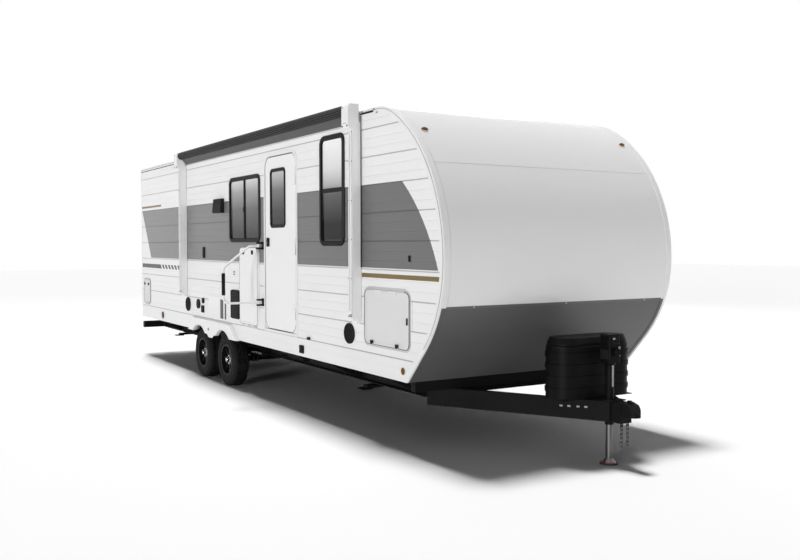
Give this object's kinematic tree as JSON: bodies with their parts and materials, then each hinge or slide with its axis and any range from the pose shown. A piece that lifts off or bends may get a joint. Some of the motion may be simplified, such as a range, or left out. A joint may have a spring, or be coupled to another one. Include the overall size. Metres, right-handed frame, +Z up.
{
  "type": "travel caravan",
  "caption": "Towed twin-axle caravan with curved front, lap siding, entry door, awning, baggage hatches, folding step, stabiliser legs and A-frame tongue with jack, gas cover and chains.",
  "frame": {"origin": "centre of the tongue jack's foot, on the ground, in the body's middle plane", "axes": "+X towards the hitch, +Y to the street side, +Z up"},
  "size_m": [9.865, 3.1389, 3.37],
  "materials": {
    "body_white": "gloss",
    "siding": "satin paint",
    "front_grey": "satin",
    "floor_board": "raw",
    "chassis_black": "satin",
    "black_plastic": "matte",
    "chain_steel": "dull",
    "chrome": "polished",
    "tyre": "rubber",
    "glass": "tinted",
    "awning_fabric": "vinyl",
    "lamp_amber": "lens",
    "lamp_red": "lens"
  },
  "bodies": {
    "chassis": {"main_frame": "chassis_black", "crossmembers": "chassis_black", "tongue_frame": "chassis_black", "coupler": "chassis_black", "jack_head": "black_plastic", "bottle_cover": "black_plastic", "safety_chains": "chain_steel", "axles": "chassis_black", "springs": "chassis_black", "rear_bumper": "chassis_black", "underbelly": "black_plastic", "floor": "floor_board", "roof": "body_white", "curb_wall": "siding", "street_wall": "siding", "side_siding": "siding", "front_cap": "body_white", "front_guard": "front_grey", "rear_wall": "body_white", "edge_trim": "body_white", "wheel_boxes": "body_white", "fender_skirts": "body_white", "window_frames": "black_plastic", "window_glass": "glass", "door_frame": "body_white", "handle_brackets": "black_plastic", "hinge_strips": "chain_steel", "awning_arms": "body_white", "awning_roller": "awning_fabric", "awning_rail": "chain_steel", "awning_fabric": "awning_fabric", "roof_ac": "body_white", "roof_vents": "body_white", "side_lamps": "lamp_amber", "tail_lamps": "lamp_red", "wall_ports": "black_plastic", "service_panels": "body_white", "step_frame": "chassis_black"},
    "wheel_front_curb": {"tyre_front_curb": "tyre", "rim_front_curb": "chassis_black"},
    "wheel_front_street": {"tyre_front_street": "tyre", "rim_front_street": "chassis_black"},
    "wheel_rear_curb": {"tyre_rear_curb": "tyre", "rim_rear_curb": "chassis_black"},
    "wheel_rear_street": {"tyre_rear_street": "tyre", "rim_rear_street": "chassis_black"},
    "tongue_jack_leg": {"jack_leg": "chrome"},
    "entry_door": {"entry_door": "body_white", "door_glass": "glass"},
    "assist_handle": {"assist_handle": "body_white"},
    "table_flap": {"table_flap": "body_white"},
    "baggage_door_curb": {"baggage_door_curb": "body_white"},
    "baggage_door_street": {"baggage_door_street": "body_white"},
    "rear_hatch": {"rear_hatch": "body_white"},
    "leg_front_curb": {"leg_front_curb": "chassis_black"},
    "leg_front_street": {"leg_front_street": "chassis_black"},
    "leg_rear_curb": {"leg_rear_curb": "chassis_black"},
    "leg_rear_street": {"leg_rear_street": "chassis_black"},
    "step_arms": {"step_arms": "chassis_black"},
    "step_tread": {"step_tread": "chassis_black"}
  },
  "joints": [
    {"name": "wheel_spin_front_curb", "type": "hinge", "parent": "chassis", "child": "wheel_front_curb", "pos_m": [-5.52, 0, 0.334], "axis": [0, 1, 0], "continuous": true},
    {"name": "wheel_spin_front_street", "type": "hinge", "parent": "chassis", "child": "wheel_front_street", "pos_m": [-5.52, 0, 0.334], "axis": [0, 1, 0], "continuous": true},
    {"name": "wheel_spin_rear_curb", "type": "hinge", "parent": "chassis", "child": "wheel_rear_curb", "pos_m": [-6.43, 0, 0.334], "axis": [0, 1, 0], "continuous": true},
    {"name": "wheel_spin_rear_street", "type": "hinge", "parent": "chassis", "child": "wheel_rear_street", "pos_m": [-6.43, 0, 0.334], "axis": [0, 1, 0], "continuous": true},
    {"name": "tongue_jack", "type": "slide", "parent": "chassis", "child": "tongue_jack_leg", "axis": [0, 0, 1], "range_m": [0, 0.27]},
    {"name": "entry_door_hinge", "type": "hinge", "parent": "chassis", "child": "entry_door", "pos_m": [-3.329, -1.317, 1.8], "axis": [0, 0, 1], "range_deg": [0, 165]},
    {"name": "assist_handle_swing", "type": "hinge", "parent": "chassis", "child": "assist_handle", "pos_m": [-4.25, -1.357, 1.4], "axis": [0, 0, -1], "range_deg": [-90, 0]},
    {"name": "table_hinge", "type": "hinge", "parent": "chassis", "child": "table_flap", "pos_m": [-4.645, -1.31, 0.845], "axis": [1, 0, 0], "range_deg": [0, 90]},
    {"name": "baggage_curb_hinge", "type": "hinge", "parent": "chassis", "child": "baggage_door_curb", "pos_m": [-1.435, -1.307, 1.403], "axis": [-1, 0, 0], "range_deg": [0, 150]},
    {"name": "baggage_street_hinge", "type": "hinge", "parent": "chassis", "child": "baggage_door_street", "pos_m": [-1.435, 1.307, 1.403], "axis": [1, 0, 0], "range_deg": [0, 150]},
    {"name": "rear_hatch_hinge", "type": "hinge", "parent": "chassis", "child": "rear_hatch", "pos_m": [-9.11, -1.307, 0.871], "axis": [1, 0, 0], "range_deg": [0, 110]},
    {"name": "stabiliser_front_curb", "type": "hinge", "parent": "chassis", "child": "leg_front_curb", "pos_m": [-2.3, -0.47, 0.413], "axis": [1, 0, 0], "range_deg": [0, 45]},
    {"name": "stabiliser_front_street", "type": "hinge", "parent": "chassis", "child": "leg_front_street", "pos_m": [-2.3, 0.47, 0.413], "axis": [-1, 0, 0], "range_deg": [0, 45]},
    {"name": "stabiliser_rear_curb", "type": "hinge", "parent": "chassis", "child": "leg_rear_curb", "pos_m": [-8.3, -0.47, 0.413], "axis": [1, 0, 0], "range_deg": [0, 45]},
    {"name": "stabiliser_rear_street", "type": "hinge", "parent": "chassis", "child": "leg_rear_street", "pos_m": [-8.3, 0.47, 0.413], "axis": [-1, 0, 0], "range_deg": [0, 45]},
    {"name": "step_fold", "type": "hinge", "parent": "chassis", "child": "step_arms", "pos_m": [-3.75, -1.12, 0.56], "axis": [-1, 0, 0], "range_deg": [0, 110]},
    {"name": "step_level", "type": "hinge", "parent": "step_arms", "child": "step_tread", "pos_m": [-3.75, -0.97, 0.56], "axis": [-1, 0, 0], "range_deg": [-110, 0]}
  ],
  "couplings": [
    {"joint": "step_level", "follows": "step_fold", "ratio": -1}
  ]
}
